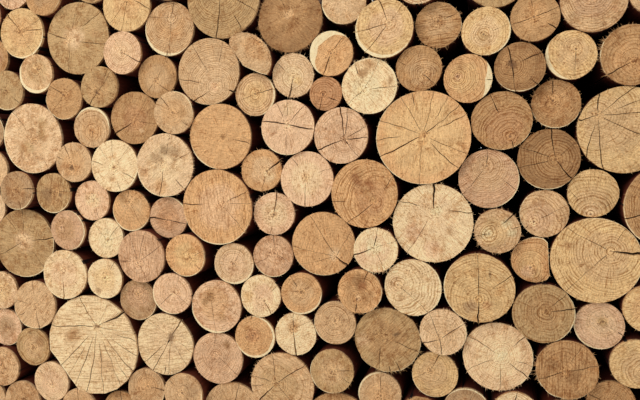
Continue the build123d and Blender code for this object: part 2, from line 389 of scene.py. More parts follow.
def flank(course, front, back, look, ways, light, chance, seed):
    """The round of a log between its two sawn ends, with its knots in whorls."""
    (front_row, front_points, front_sunk), (back_row, back_points, back_sunk) = front, back
    length = (back_points - front_points)[:, 1].mean()
    stations, knots = [*by_end, *(length - by_end)], []
    if light.max() > knot_light:
        whorl = chance.uniform(120, 420)
        while whorl < length - 90:
            for way in chance.uniform(0, 2 * np.pi, chance.integers(2, 6)):
                knots.append((whorl + chance.uniform(-9, 9), way, chance.uniform(6, 11)))
            stations += (whorl + by_whorl).tolist()
            whorl += chance.uniform(280, 500)
        stations += np.arange(200, length, 200).tolist()
    stations = np.array(sorted(s for s in stations if 5 < s < length - 5))
    stations = stations[np.concatenate([[True], np.diff(stations) > 3.5])]
    share = (stations / length)[:, None, None]
    points = (1 - share) * front_points + share * back_points
    out = points - points.mean(axis=1, keepdims=True)
    out[..., 1] = 0
    reach = np.linalg.norm(out, axis=-1, keepdims=True)
    along = stations[:, None] + 0 * reach[..., 0]
    knot = np.zeros_like(along)
    for place, way, size in knots:
        off = apart(ways, way) * reach[..., 0]
        knot = np.maximum(knot, np.exp(-((along - place) / size) ** 2 - (off / size) ** 2))
    depth = np.minimum(front_sunk, split_depth) * np.clip(1 - along / split_length, 0, 1)
    depth = depth + np.minimum(back_sunk, split_depth) * np.clip(1 - (length - along) / split_length, 0, 1)
    swell = ripple(chance, 240, 4)(along, ways * 70) + 0.5 * ripple(chance, 60, 5)(along * 0.25, ways * 55)
    near_end = np.minimum(along, length - along)
    rise = np.clip(near_end / 60, 0, 1) * 0.7 * swell + knot_height * knot - depth
    if not knots:
        rise = rise + inner_swell * eased(near_end, 110, 400)
    points = points + out / reach * rise[..., None]
    # How much the flank is lit, for its painted shade: as open as open_sky finds it, and a little more within
    # a few mm of the sawn ends.
    lit = light + (1 - light) * 0.15 * np.exp(-near_end / 7)
    tone = 0.5 * daylight(look["tone"]) + 0.5 * daylight("tan")
    numbers = course.add(
        points,
        tone=[*tone, 1],
        rim=[*daylight("bast"), 1],
        place=np.stack([along, 1 + 0 * along, lit], axis=-1),
        marks=np.stack([knot, np.full_like(along, look["stains"]), np.full_like(along, seed)], axis=-1),
        way=[1, 0, 0],
        cut=[0, 0, 0],
    )
    course.skin(np.vstack([front_row[None], numbers, back_row[None]]), 1, False)


column_width = 8.2  # mm between the lines of corners that run in from the rim

# The shares of its radius where a sawn end has a ring of corners: close in front, and wider apart behind.
front_rings = (0.04, 0.11, 0.19, 0.27, 0.36, 0.45, 0.54, 0.63, 0.72, 0.80, 0.87, 0.93, 0.97, 1.0)
back_rings = (0.05, 0.18, 0.34, 0.51, 0.68, 0.82, 0.93, 1.0)


def dressed_log(course, front, back, look, chance):
    """One log: its front end, its back end and its flank."""
    middle, radius, _ = sawn_plane(front)
    seed = chance.uniform(0, 1)
    back_look = drawn_look(chance)
    columns = round(2 * math.pi * radius / column_width)
    ways = np.arange(columns) * 2 * np.pi / columns
    checks = np.concatenate([rim_ways(look, radius), rim_ways(back_look, sawn_plane(back)[1])])
    for way in checks:
        ways = ways[np.abs(apart(ways, way)) > 2.2 * check_side]
    beside = np.concatenate([checks - check_side, checks, checks + check_side])
    ways = np.unique((np.concatenate([ways, beside]) % (2 * np.pi)).round(6))
    light = open_sky(middle[[0, 2]], radius, ways)
    front_end = end_face(course, front, look, ways, front_rings, chance, seed, -1)
    back_end = end_face(course, back, back_look, ways, back_rings, chance, seed, 1)
    flank(course, front_end, back_end, look, ways, light, chance, seed)


relief_height = 0.0018  # metres from the hollows of the fine relief to its tops
palest_wood = (0.97, 0.79, 0.51)  # linear colour of clean dry sapwood


class Finish:
    """A material under way: short ways to add its nodes, each of which returns its first output."""

    def __init__(self, name, roughness, gloss):
        self.material = bpy.data.materials.new(name)
        self.material.use_nodes = True
        self.tree = self.material.node_tree
        self.shader = self.tree.nodes["Principled BSDF"]
        self.shader.inputs["Roughness"].default_value = roughness
        self.shader.inputs["Specular IOR Level"].default_value = gloss

    def node(self, kind, inputs, **settings):
        made = self.tree.nodes.new("ShaderNode" + kind)
        for key, value in settings.items():
            setattr(made, key, value)
        for key, value in inputs.items():
            if isinstance(value, bpy.types.NodeSocket):
                self.tree.links.new(value, made.inputs[key])
            else:
                made.inputs[key].default_value = value
        return made

    def attribute(self, name):
        """A colour and its alpha, or the three parts of a vector, as they were laid on the corners."""
        made = self.node("Attribute", {}, attribute_name=name)
        if Course.widths[name] == 4:
            return made.outputs["Color"], made.outputs["Alpha"]
        return self.node("SeparateXYZ", {0: made.outputs["Vector"]}).outputs[:]

    def reckoned(self, kind, one, two=0.0):
        """One step of arithmetic on numbers, such as POWER."""
        return self.node("Math", {0: one, 1: two}, operation=kind).outputs[0]

    def scaled(self, value, by):
        return self.reckoned("MULTIPLY", value, by)

    def total(self, *values):
        whole = values[0]
        for value in values[1:]:
            whole = self.reckoned("ADD", whole, value)
        return whole

    def step(self, value, low, high, top=1.0):
        """A smooth step from nought where the value is low to the top where it is high."""
        inputs = {0: value, 1: low, 2: high, 3: 0.0, 4: top}
        return self.node("MapRange", inputs, interpolation_type="SMOOTHSTEP").outputs[0]

    def mix(self, share, one, two, blend="MIX"):
        return self.node("Mix", {0: share, 6: one, 7: two}, data_type="RGBA", blend_type=blend).outputs[2]

    def tinted(self, share, colour, by):
        """A colour multiplied by another one, as far as the share says."""
        return self.mix(share, colour, (*by, 1), "MULTIPLY")

    def vector(self, x, y, z):
        return self.node("CombineXYZ", {0: x, 1: y, 2: z}).outputs[0]

    def noise(self, where, scale, detail=3.0, rough=0.6):
        inputs = {"Vector": where, "Scale": scale, "Detail": detail, "Roughness": rough}
        return self.node("TexNoise", inputs).outputs["Fac"]

    def own_spot(self, seed, stretch=(1.0, 1.0, 1.0)):
        """The place on the log, moved by the log's own seed so that no two logs are marked alike."""
        where = self.node("TexCoord", {}).outputs["Object"]
        moved = self.vector(self.scaled(seed, 31.0), self.scaled(seed, 17.0), seed)
        drawn = self.node("VectorMath", {0: where, 1: stretch}, operation="MULTIPLY").outputs[0]
        return self.node("VectorMath", {0: drawn, 1: moved}, operation="ADD").outputs[0]

    def done(self, colour, relief, strength):
        """Gives the shader its colour, which no fleck takes past the palest wood, and its relief."""
        inputs = {"Strength": strength, "Distance": relief_height, "Height": relief}
        bump = self.node("Bump", inputs).outputs[0]
        kept = self.node("VectorMath", {0: colour, 1: palest_wood}, operation="MINIMUM").outputs[0]
        self.tree.links.new(kept, self.shader.inputs["Base Color"])
        self.tree.links.new(bump, self.shader.inputs["Normal"])
        return self.material


def sawn_end_finish():
    """The sawn end of a dry log: rings, fine rays, saw lines, stains and flecks, with painted light and shade
    on its fibres, specks, grit and checks.
    """
    wood = Finish("sawn_end", 0.85, 0.2)
    tone, rings = wood.attribute("tone")
    rim, rim_from = wood.attribute("rim")
    from_pith, share, _ = wood.attribute("place")
    check, stains, seed = wood.attribute("marks")
    aim_x, aim_z, turns = wood.attribute("way")
    across, lengthways, saw = wood.attribute("cut")
    spot = wood.own_spot(seed)

    # Unevenness in four sizes, from broad blotches to the grit of the dry surface, in swells a metre.
    blotch, patch, speck, grit = (wood.noise(spot, scale) for scale in (28.0, 95.0, 300.0, 520.0))
    colour = tone

    # The growth rings: dark late wood, wider in some years and faint where the end is blotched.
    years = wood.noise(wood.vector(wood.scaled(from_pith, 0.11), wood.scaled(seed, 70.0), 0.0), 1.0, 3.0)
    turns = wood.total(turns, wood.scaled(years, 16.0), wood.scaled(blotch, 7.0), wood.scaled(patch, 3.0))
    wave = wood.total(wood.scaled(wood.reckoned("SINE", turns), 0.5), 0.5)
    good_years = wood.total(wood.step(years, 0.60, 0.38, 0.9), 0.4)
    clean = wood.total(wood.step(blotch, 0.62, 0.38, 0.8), 0.5)
    late = wood.scaled(wood.reckoned("POWER", wave, 3.0), wood.scaled(rings, wood.scaled(good_years, clean)))
    colour = wood.tinted(wood.reckoned("MINIMUM", late, 1.0), colour, (0.58, 0.45, 0.33))

    # The rays, which run out from the pith, dark and light.
    outward = wood.total(wood.scaled(from_pith, 0.03), wood.scaled(seed, 90.0))
    rays_at = wood.vector(wood.scaled(aim_x, 13.0), wood.scaled(aim_z, 13.0), outward)
    rays = wood.noise(rays_at, 1.0, 4.0, 0.75)
    off_pith = wood.step(share, 0.08, 0.40)
    colour = wood.tinted(wood.scaled(wood.step(rays, 0.55, 0.65, 0.85), off_pith), colour, (0.66, 0.52, 0.40))
    colour = wood.tinted(wood.scaled(wood.step(rays, 0.45, 0.36, 0.5), off_pith), colour, (1.18, 1.16, 1.11))

    # The marks of the saw: long dark lines, and short fibres that it pulled up, with painted light on their
    # tops and painted shade in the creases between them.
    lines_at = wood.vector(wood.scaled(across, 0.42), wood.scaled(lengthways, 0.020), wood.scaled(seed, 50.0))
    saw_lines = wood.noise(lines_at, 1.0, 3.0, 0.7)
    colour = wood.tinted(wood.scaled(wood.step(saw_lines, 0.50, 0.62), saw), colour, (0.62, 0.52, 0.43))
    fibres_at = wood.vector(wood.scaled(across, 0.62), wood.scaled(lengthways, 0.11), wood.scaled(seed, 30.0))
    fibres = wood.noise(fibres_at, 1.0, 2.0, 0.6)
    # Painted shade in the creases between the fibres, and painted light on their tops.
    colour = wood.tinted(wood.step(fibres, 0.52, 0.70, 0.9), colour, (0.78, 0.70, 0.62))
    colour = wood.tinted(wood.step(fibres, 0.46, 0.30, 0.9), colour, (1.23, 1.20, 1.14))

    # Stains of damp and resin.
    zone = wood.step(wood.total(blotch, wood.scaled(stains, 0.30)), 0.56, 0.74)
    spots = wood.step(wood.total(patch, wood.scaled(stains, 0.10)), 0.44, 0.62, 0.8)
    colour = wood.tinted(wood.scaled(zone, spots), colour, (0.70, 0.57, 0.46))

    # Flecks and specks of dirt, thickest near the pith; pale specks, partly paler wood and partly painted
    # glints of light; and the grit of the dry surface, painted darker in spots as the shade of its fine
    # relief.
    flecks_at = wood.vector(wood.scaled(across, 0.75), wood.scaled(lengthways, 0.28), wood.scaled(seed, 40.0))
    flecks = wood.noise(flecks_at, 1.0, 3.0, 0.7)
    near_pith = wood.step(from_pith, 24.0, 4.0, 0.075)
    stain = wood.scaled(stains, 0.05)
    dirt, bright = (0.36, 0.24, 0.16), (1.22, 1.19, 1.12)
    colour = wood.tinted(wood.step(wood.total(flecks, near_pith, stain), 0.64, 0.70, 0.85), colour, dirt)
    colour = wood.tinted(wood.step(wood.total(speck, near_pith, stain), 0.65, 0.71, 0.85), colour, dirt)
    # Pale specks: partly paler wood, partly painted glints of light.
    colour = wood.tinted(wood.step(speck, 0.43, 0.33, 0.9), colour, bright)
    dull = wood.scaled(wood.step(speck, 0.50, 0.62, 0.8), wood.step(blotch, 0.40, 0.58))
    colour = wood.tinted(dull, colour, (0.76, 0.67, 0.58))
    pale_pith = wood.step(wood.total(from_pith, wood.scaled(patch, 26.0)), 30.0, 14.0, 0.75)
    colour = wood.tinted(pale_pith, colour, bright)
    # Painted shade of the fine grit.
    colour = wood.tinted(wood.step(grit, 0.52, 0.70, 0.7), colour, (0.72, 0.63, 0.54))

    # The crescent of bast, the dot of the pith and the painted shade inside the checks.
    edge = wood.total(share, wood.scaled(patch, 0.03), -0.015)
    is_rim = wood.step(wood.reckoned("SUBTRACT", edge, rim_from), -0.010, 0.016, 0.92)
    bast = wood.mix(wood.step(speck, 0.48, 0.66, 0.6), rim, (*daylight("yellow"), 1))
    colour = wood.mix(is_rim, colour, bast)
    pith_dot = wood.step(wood.total(from_pith, wood.scaled(speck, 2.0)), 4.2, 2.2, 0.75)
    colour = wood.mix(pith_dot, colour, (0.15, 0.075, 0.04, 1))
    # Painted shade: the checks are darkened to near black.
    colour = wood.mix(wood.step(check, 0.30, 0.95), colour, (0.022, 0.012, 0.007, 1))
    relief = wood.total(wood.scaled(saw_lines, 0.9), wood.scaled(grit, 0.9), wood.scaled(patch, 1.1),
                        wood.scaled(fibres, -1.4))
    return wood.done(colour, relief, 0.9)


def flank_finish():
    """The flank of a barked log: weathered wood with brown strips of inner bark along the grain, drying
    checks and dark knots. Where no daylight reaches, it is painted nearly black as shade."""
    wood = Finish("barked_flank", 0.78, 0.25)
    tone, _ = wood.attribute("tone")
    _, _, light = wood.attribute("place")
    knot, stains, seed = wood.attribute("marks")
    strips = wood.noise(wood.own_spot(seed, (1.0, 0.075, 1.0)), 30.0, 4.0)
    fibres = wood.noise(wood.own_spot(seed, (1.0, 0.045, 1.0)), 210.0, 4.0, 0.68)
    splits = wood.noise(wood.own_spot(seed, (1.0, 0.030, 1.0)), 62.0, 2.0)
    patches = wood.noise(wood.own_spot(seed, (1.0, 0.35, 1.0)), 8.0)
    colour = wood.mix(wood.step(patches, 0.40, 0.62), tone, (*daylight("brown"), 1))
    colour = wood.tinted(wood.step(fibres, 0.44, 0.66, 0.8), colour, (0.60, 0.48, 0.38))
    bast = wood.step(wood.total(strips, wood.scaled(patches, 0.2)), 0.60, 0.72, 0.6)
    colour = wood.mix(bast, colour, (0.30, 0.155, 0.075, 1))
    bark = wood.step(wood.total(strips, wood.scaled(stains, 0.08)), 0.63, 0.69)
    bark_tone = wood.mix(wood.step(fibres, 0.40, 0.62), (*daylight("bark"), 1), (0.075, 0.036, 0.020, 1))
    colour = wood.mix(bark, colour, bark_tone)
    split = wood.step(splits, 0.66, 0.69)
    colour = wood.mix(split, colour, (0.04, 0.022, 0.014, 1))
    colour = wood.mix(wood.step(knot, 0.45, 0.80), colour, (0.10, 0.05, 0.028, 1))
    # Painted shade: the flank is darkened towards near black where the stack hides it from the sky.
    colour = wood.tinted(wood.step(light, 0.55, 0.0), colour, (0.13, 0.030, 0.015))
    relief = wood.total(wood.scaled(bark, 1.1), wood.scaled(split, -1.0), fibres)
    return wood.done(colour, relief, 0.8)


sawn_wood = sawn_end_finish()
barked_wood = flank_finish()
face_shift = (24.7, 0.0)  # mm from the middle of the stack to the place that the ends were read from
reading_miss = 34  # mm that a log may lie from the place its look was read at
nowhere = (9999, 9999)
sharp_angle = 38  # degrees between two faces, past which they meet in a sharp edge


def dress_course(node, looks):
    """Puts dressed logs in place of a course's plain ones, each with the look of its place in the face."""
    course = Course()
    for front, back in courses[node]:
        seen = front.mean(axis=0)[[0, 2]] + face_shift
        chance = np.random.default_rng([int(node[-2:]), int(abs(seen[0])), int(seen[1])])
        nearest = min(looks, key=lambda at: math.dist(at, seen), default=nowhere)
        look = looks[nearest] if math.dist(nearest, seen) < reading_miss else drawn_look(chance)
        dressed_log(course, front, back, look, chance)
    mesh = bpy.data.meshes.new(node + "_dressed")
    points = np.concatenate(course.points) / mm_in_metre
    points[:, 2] = np.maximum(points[:, 2], 0)
    mesh.from_pydata(points.tolist(), [], course.faces)
    mesh.polygons.foreach_set("material_index", course.slots)
    for name, width in Course.widths.items():
        kind, key = ("FLOAT_COLOR", "color") if width == 4 else ("FLOAT_VECTOR", "vector")
        values = np.concatenate(course.finish[name]).ravel().astype(np.float32)
        mesh.attributes.new(name, kind, "POINT").data.foreach_set(key, values)
    mesh.materials.append(sawn_wood)
    mesh.materials.append(barked_wood)
    mesh.shade_smooth()
    mesh.set_sharp_from_angle(angle=math.radians(sharp_angle))
    piece = bpy.data.objects.new(node + "_logs", mesh)
    bpy.context.collection.objects.link(piece)
    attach(piece, "root")
    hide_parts(node)


dress_course("course_01", {
    (-756, 48): sawn("tan", "orange", stains=0.5),
    (-661, 51): sawn("tan", "brown", stains=0.7, checks=[(140, 0.4, 0.9, 0.9)]),
    (-496, 48): sawn("tan", "brown", rings=0.7, checks=[(95, 0.1, 1, 1.2)]),
    (-389, 49): sawn("brown", "tan", checks=[(92, 0.1, 1, 1.4), (-60, 0.2, 0.8, 0.9)]),
    (-108, 72): sawn("tan", "brown", checks=[(80, 0.1, 0.8, 1.2)]),
    (133, 74): sawn("brown", "tan", checks=[(30, 0.1, 0.7, 1.2), (-140, 0.1, 0.8, 1.4)]),
})

# The second course: spruce logs laid in the hollows of the first and held there by nothing but their
# weight. They are thinner, barked like all the others, and the thinnest fill the places between.
dress_course("course_02", {
    (-580, 96): sawn("pale", "pink", pith=(2, -8), rings=0.4, stains=0.1, checks=[(135, 0.45, 0.95, 0.9),
        (100, 0.1, 0.4, 0.8)]),
    (-316, 116): sawn("tan", "orange", pith=(4, 6), rings=0.8, stains=0.3, checks=[(-8, 0.1, 1, 2.4),
        (100, 0.1, 0.6, 0.8)]),
    (-220, 118): sawn("tan", pith=(-2, 2), rim=(3, -30, 60), checks=[(-45, 0.2, 0.85, 0.9),
        (140, 0.3, 0.95, 0.8)], patches=[(22, 10, 20, "grey")]),
    (402, 131): sawn("grey", "tan", pith=(0, 4), rim=(3.5, 80, 80), stains=0.3,
        checks=[(70, 0.1, 0.6, 0.8)]),
    (311, 127): sawn("brown", "olive", rings=0.6, rough=1.1, checks=[(20, 0.1, 0.7, 0.9)]),
    (-706, 139): sawn("tan", pith=(-3, 4), stains=0.6),
    (10, 149): sawn("tan", "olive", pith=(-14, 3), stains=0.2, rough=0.5, fringe=(150, 50, 30),
        checks=[(-133, 0.04, 1, 2.6), (36, 0.04, 0.97, 1.6), (98, 0.1, 0.95, 0.9), (165, 0.2, 0.6, 1.2),
        (-45, 0.1, 0.6, 0.8), (190, 0.5, 0.7, 1.2)]),
    (217, 154): sawn("tan", "orange", pith=(2, -4), rim=(3.5, 145, 75), checks=[(90, 0.1, 0.85, 0.9),
        (-80, 0.1, 0.6, 0.8)]),
    (671, 171): sawn("brown", rings=0.8, rough=0.9, checks=[(160, 0.2, 0.9, 1.1)]),
    (-624, 184): sawn("olive", "tan", pith=(2, -2), rings=1, stains=0.3, checks=[(-60, 0.4, 0.9, 0.8)],
        patches=[(22, 14, 15, "dark"), (-7, 33, 4, "bark")]),
})

# The third course: spruce logs of all sizes, with the thickest one of the stack, whose lower left was
# slabbed flat on the saw. Its thick end dried fast, and its checks run from the pith like a star.
dress_course("course_03", {
    (-138, 190): sawn("pink", "rose", pith=(-4, 6), rings=0.8, checks=[(-38, 0.1, 0.9, 0.9),
        (95, 0.5, 1, 0.8)], patches=[(22, 32, 10, "dark")]),
    (125, 203): sawn("olive", "tan", rings=0.4, stains=0.4, rough=0.9, checks=[(8, 0.3, 0.95, 1.2),
        (-30, 0.6, 0.95, 0.9)]),
    (-454, 207): sawn("cream", pith=(2, 35), rim=(3, -150, 40), rings=0.25, saw=0.9, saw_way=4, stains=0.12,
        rough=0.6, checks=[(31, 0.26, 1, 6.5), (33, 0.05, 0.26, 1.3), (126, 0.04, 0.97, 1.6),
        (-176, 0.04, 0.72, 2.2), (-3, 0.04, 0.62, 1.9), (-47, 0.1, 1, 1.6), (-99, 0.1, 0.85, 1.5),
        (-112, 0.15, 0.8, 1.2), (-84, 0.2, 0.6, 1), (-66, 0.2, 0.75, 1), (-31, 0.3, 0.85, 1),
        (-14, 0.3, 0.95, 1), (-134, 0.25, 0.75, 1.1), (-123, 0.4, 0.85, 0.9), (60, 0.15, 0.5, 0.8),
        (-56, 0.5, 0.85, 0.9)], patches=[(-74, 11, 8, "stain"), (-60, 14, 9, "bark"), (-49, 7, 6, "bark"),
        (-66, 3, 7, "stain"), (2, 35, 5, "bark"), (-64, 10, 22, "brown"), (16, -54, 26, "tan")]),
    (352, 211): sawn("yellow", "tan", pith=(-9, 8), rings=0.6, stains=0.3, checks=[(62, 0.08, 1, 1.5),
        (-150, 0.2, 0.6, 0.8)]),
    (-264, 227): sawn("cream", "pale", pith=(16, 18), rings=0.2, saw=0.8, saw_way=12, stains=0.08,
        rough=0.5, checks=[(58, 0.1, 1, 2.6), (-97, 0.15, 0.6, 1.1), (-136, 0.3, 0.97, 1),
        (-30, 0.2, 0.6, 0.8), (-103, 0.75, 0.97, 1.2), (-60, 0.2, 0.5, 0.8), (150, 0.2, 0.5, 0.7),
        (240, 0.05, 0.15, 4)], patches=[(17, 19, 10, "bark")]),
    (-702, 234): sawn("pink", "grey", stains=0.5, patches=[(-4, 4, 16, "grey")]),
    (591, 235): sawn("brown", pith=(-4, -3), saw=1, saw_way=90, stains=0.35, rough=1.3,
        fringe=(-135, 70, 40), checks=[(-157, 0.04, 0.85, 1.6), (14, 0.04, 0.85, 1.2), (60, 0.3, 0.6, 0.8)],
        patches=[(-26, 10, 12, "dark"), (12, -14, 14, "dark")]),
    (464, 248): sawn("pale", "cream", pith=(6, 2), rings=0.45, stains=0.08, rough=0.7, fringe=(-50, 65, 34),
        checks=[(-37, 0.3, 1, 1.5), (-90, 0.2, 0.85, 0.7), (-152, 0.2, 0.75, 0.9), (150, 0.15, 0.95, 1),
        (42, 0.45, 1, 1.2), (-15, 0.5, 0.85, 0.7)], patches=[(6, 2, 12, "bast")]),
    (-49, 253): sawn("orange", "red", heart_to=0.25, pith=(-4, 3), rim=(5.5, -25, 150), rings=0.9,
        stains=0.1, fringe=(90, 40, 12), checks=[(95, 0.8, 1, 1.6)], patches=[(-17, -2, 3, "bark"),
        (-4, 4, 16, "red")]),
    (708, 253): sawn("yellow", "tan", pith=(12, -16), rings=0.7, stains=0.15),
    (43, 267): sawn("cream", pith=(-5, 10), rings=0.35, rough=0.5, fringe=(90, 60, 14),
        checks=[(-84, 0.05, 1, 3.6), (90, 0.1, 0.6, 1.6), (30, 0.1, 0.4, 0.8)],
        patches=[(-6, 16, 14, "brown")]),
    (243, 269): sawn("olive", "brown", pith=(-12, 8), rings=0.3, saw=0.7, saw_way=45, stains=0.35,
        rough=1.5, fringe=(-40, 75, 44), checks=[(-95, 0.3, 0.8, 0.9), (-20, 0.3, 0.95, 0.9),
        (-60, 0.75, 1, 1.4), (-75, 0.8, 1, 1.2)], patches=[(-52, -6, 14, "pale"), (20, 14, 5, "bark"),
        (-12, 34, 8, "dark")]),
})

# The fourth course: barked spruce logs, sawn square and bedded in the course below. The one at the
# right of the middle was bruised on felling, which left a dark stain above its pith.
dress_course("course_04", {
    (-611, 293): sawn("tan", pith=(2, -2), rings=0.3, saw=0.7, rough=0.5, checks=[(-80, 0.1, 1, 1.8),
        (97, 0.4, 0.95, 1), (170, 0.3, 0.8, 0.8), (-150, 0.6, 0.9, 1.2)]),
    (132, 299): sawn("tan", pith=(0, 4), rim=(1.5, -150, 60), rings=0.9, stains=0.1),
    (361, 306): sawn("pale", "tan", pith=(-6, -16), rings=0.6, stains=0.2, rough=0.5, fringe=(0, 90, 24),
        checks=[(-164, 0.04, 1, 2.6), (38, 0.04, 0.9, 1.4), (-80, 0.04, 0.97, 1.8), (112, 0.04, 0.8, 1.1)]),
    (-138, 311): sawn("pink", "orange", pith=(-14, 22), rim=(4, -125, 75), stains=0.4,
        checks=[(-80, 0.1, 0.6, 0.9), (-30, 0.3, 0.7, 0.7)], patches=[(-14, 22, 12, "dark"),
        (-26, 10, 8, "dark"), (14, -22, 10, "brown")]),
    (-334, 321): sawn("grey", "rose", pith=(0, 14), rings=0.7, stains=0.35, checks=[(170, 0.4, 0.8, 0.7),
        (30, 0.4, 0.8, 0.7)], patches=[(0, 15, 6, "tan"), (10, -20, 9, "dark")]),
    (649, 320): sawn("pink", "pale", pith=(6, 8), stains=0.05, checks=[(-35, 0.72, 0.97, 1.4)],
        patches=[(6, 8, 10, "olive")]),
    (-708, 330): sawn("pale", "yellow", rings=0.3, stains=0.5),
    (548, 343): sawn("olive", "brown", pith=(4, 4), rings=1, stains=0.2, rough=0.7,
        checks=[(9, 0.18, 1, 2.2), (45, 0.3, 0.9, 0.7)]),
    (-36, 345): sawn("cream", "pink", pith=(8, -10), rings=0.4, stains=0.15, checks=[(-58, 0.08, 0.98, 2.4),
        (50, 0.6, 0.9, 0.9)], patches=[(8, 12, 18, "pink"), (-30, -2, 14, "yellow")]),
    (-239, 346): sawn("pink", pith=(6, 4), rim=(3, -140, 75), stains=0.1, checks=[(-140, 0.05, 0.7, 0.9),
        (-40, 0.05, 0.8, 0.9), (70, 0.1, 0.3, 0.8)]),
    (55, 360): sawn("orange", "tan", pith=(0, 4), rim=(3.5, -60, 80), rings=0.35, stains=0.3,
        checks=[(128, 0.35, 0.7, 2), (180, 0.05, 0.5, 0.7)], patches=[(2, 6, 5, "brown"),
        (16, 24, 12, "brown")]),
    (187, 369): sawn("orange", "brown", pith=(-6, -16), rings=1, stains=0.3, rough=0.9,
        fringe=(-100, 70, 22), checks=[(-95, 0.3, 0.85, 1.8), (68, 0.6, 1, 1.2)],
        patches=[(0, 22, 18, "dark"), (6, 12, 10, "stain"), (-22, 16, 8, "brown"), (-4, -14, 6, "pale")]),
    (-414, 370): sawn("cream", "yellow", pith=(0, 2), rings=0.3, stains=0.15, checks=[(55, 0.5, 1, 0.9)],
        patches=[(-18, -30, 8, "dark")]),
    (729, 368): sawn("yellow", "orange", pith=(-6, 2), stains=0.3, rough=0.8),
    (-521, 375): sawn("cream", "pink", pith=(-6, 10), rings=0.4, stains=0.35, rough=0.5,
        checks=[(-88, 0.25, 1, 2.6), (60, 0.6, 0.8, 0.9), (140, 0.6, 0.9, 0.8)]),
})

# The fifth course: barked spruce logs, bedded in the course below. Thicker ones lie towards its ends,
# and drying has opened one of them in a deep check from the pith to the rim.
dress_course("course_05", {
    (293, 388): sawn("cream", pith=(-30, 4), rings=1, stains=0.15, rough=0.4, checks=[(-40, 0.1, 0.3, 1)],
        patches=[(-38, 6, 17, "pale"), (-38, 5, 3, "brown"), (-24, -22, 8, "brown")]),
    (431, 398): sawn("yellow", pith=(0, -22), rings=0.9, stains=0.3, rough=0.4, fringe=(-120, 90, 12),
        checks=[(-90, 0.05, 1, 3), (92, 0.05, 0.6, 1.2), (40, 0.4, 1, 1)], patches=[(20, 30, 4, "bark"),
        (-16, -38, 14, "grey"), (16, -34, 10, "orange")]),
    (-110, 414): sawn("pale", "pink", rim=(4.5, -70, 80), rings=0.6, stains=0.15,
        checks=[(60, 0.1, 0.4, 0.8)]),
    (-323, 426): sawn("rose", "pink", pith=(-8, -14), saw=0.9, stains=0.2, checks=[(108, 0.05, 0.6, 1.2),
        (75, 0.1, 0.9, 0.8), (35, 0.1, 0.9, 0.9), (178, 0.4, 0.97, 1.2), (-60, 0.1, 0.7, 0.8)]),
    (-17, 436): sawn("rose", "pink", pith=(4, 6), rings=0.6, stains=0.45, checks=[(95, 0.15, 1, 1.2),
        (-28, 0.1, 0.8, 0.9), (-150, 0.3, 0.7, 0.8)]),
    (-212, 436): sawn("orange", "yellow", pith=(12, -4), rings=0.3, stains=0.35,
        checks=[(-50, 0.5, 0.98, 1.6), (25, 0.3, 0.9, 0.8)], patches=[(-8, 10, 18, "yellow")]),
    (-645, 445): sawn("olive", "tan", heart_to=0.3, pith=(0, 5), rings=0.25, stains=0.5, rough=0.4,
        checks=[(7, 0.2, 1, 2), (-153, 0.1, 0.75, 0.8), (-48, 0.3, 0.7, 0.7), (92, 0.3, 0.6, 0.6),
        (130, 0.4, 0.8, 0.6)], patches=[(0, 5, 22, "pale"), (6, -6, 7, "brown")]),
    (533, 448): sawn("orange", "yellow", pith=(6, -14), rings=0.8, stains=0.15, rough=0.5,
        patches=[(14, -20, 7, "brown"), (0, -22, 12, "pink")]),
    (639, 452): sawn("yellow", "tan", pith=(26, 18), rings=1, stains=0.1, rough=0.4,
        checks=[(-3, 0.03, 1, 5.5), (152, 0.05, 0.5, 1), (-135, 0.05, 0.35, 1), (60, 0.4, 0.9, 0.6)],
        patches=[(-50, 26, 10, "brown")]),
    (-426, 462): sawn("cream", "bast", heart_to=0.45, pith=(4, -6), rings=0.3, stains=0.1,
        checks=[(52, 0.1, 0.95, 1.1), (132, 0.1, 0.6, 0.9), (20, 0.1, 0.4, 0.7), (90, 0.2, 0.6, 0.6)]),
    (218, 462): sawn("cream", "pink", pith=(-4, 4), rings=0.3, stains=0, rough=1, fringe=(-75, 40, 24),
        checks=[(-158, 0.05, 1, 3), (78, 0.05, 0.65, 2.2), (20, 0.1, 0.5, 0.8), (-60, 0.1, 0.7, 0.7)],
        patches=[(-4, 8, 20, "bast"), (-32, -22, 22, "pink"), (2, -52, 14, "pink")]),
    (96, 467): sawn("orange", pith=(28, -26), rings=0.4, stains=0.1, rough=0.4, checks=[(-40, 0.05, 1, 5),
        (124, 0.05, 0.55, 1.2), (170, 0.05, 0.35, 1), (195, 0.1, 0.5, 0.7), (60, 0.05, 0.3, 0.9)],
        patches=[(24, -22, 14, "pale")]),
})

